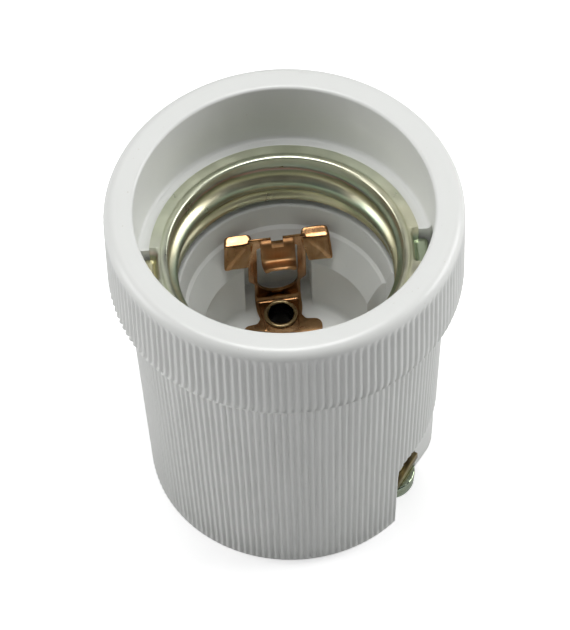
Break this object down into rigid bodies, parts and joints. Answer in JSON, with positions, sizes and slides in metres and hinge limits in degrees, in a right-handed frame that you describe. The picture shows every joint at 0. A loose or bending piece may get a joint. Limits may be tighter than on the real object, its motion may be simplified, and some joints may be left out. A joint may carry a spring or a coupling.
{
  "type": "heat lamp socket",
  "caption": "Ribbed porcelain screw lampholder for a heat lamp, with a pressed steel screw shell, a sprung bronze centre contact and screw terminals under it.",
  "frame": {"origin": "centre of the base, on the plane that the porcelain stands on", "axes": "+Z along the socket axis, out of the lamp opening; +Y towards the contact strip's riser"},
  "size_m": [0.0408, 0.0408, 0.048],
  "materials": {
    "porcelain": "glossy warm white glaze over pressed ribs",
    "chromated_steel": "zinc plated, yellow chromated, slightly iridescent",
    "bronze": "bright rolled bronze, lightly toned",
    "brass_eyelet": "bright",
    "brass_plate": "stamped, satin"
  },
  "bodies": {
    "holder": {"porcelain_body": "porcelain", "thread_shell": "chromated_steel", "centre_contact": "bronze", "centre_rivet": "brass_eyelet", "shell_rivet": "brass_eyelet", "shell_strap": "bronze", "centre_terminal_plate": "brass_plate", "shell_terminal_plate": "brass_plate"},
    "tongue": {"contact_tongue": "bronze"},
    "centre_clamp": {"centre_clamp_washer": "chromated_steel"},
    "centre_screw": {"centre_terminal_screw": "chromated_steel"},
    "shell_clamp": {"shell_clamp_washer": "chromated_steel"},
    "shell_screw": {"shell_terminal_screw": "chromated_steel"}
  },
  "joints": [
    {"name": "tongue_flex", "type": "hinge", "parent": "holder", "child": "tongue", "pos_m": [0, 0.0086, 0.0297], "axis": [1, 0, 0], "range_deg": [0, 14], "stiffness_Nm_per_rad": 0.08},
    {"name": "centre_clamp_travel", "type": "slide", "parent": "holder", "child": "centre_clamp", "axis": [0, 0, -1], "range_m": [0, 0.0014]},
    {"name": "centre_screw_turn", "type": "hinge", "parent": "centre_clamp", "child": "centre_screw", "pos_m": [-0.01065, 0.0078, 0.0016], "axis": [0, 0, -1], "range_deg": [0, 721]},
    {"name": "shell_clamp_travel", "type": "slide", "parent": "holder", "child": "shell_clamp", "axis": [0, 0, -1], "range_m": [0, 0.0014]},
    {"name": "shell_screw_turn", "type": "hinge", "parent": "shell_clamp", "child": "shell_screw", "pos_m": [0.01065, -0.0078, 0.0016], "axis": [0, 0, -1], "range_deg": [0, 721]}
  ],
  "couplings": [
    {"joint": "centre_screw_turn", "follows": "centre_clamp_travel", "rad_per_m": 8976},
    {"joint": "shell_screw_turn", "follows": "shell_clamp_travel", "rad_per_m": 8976}
  ]
}
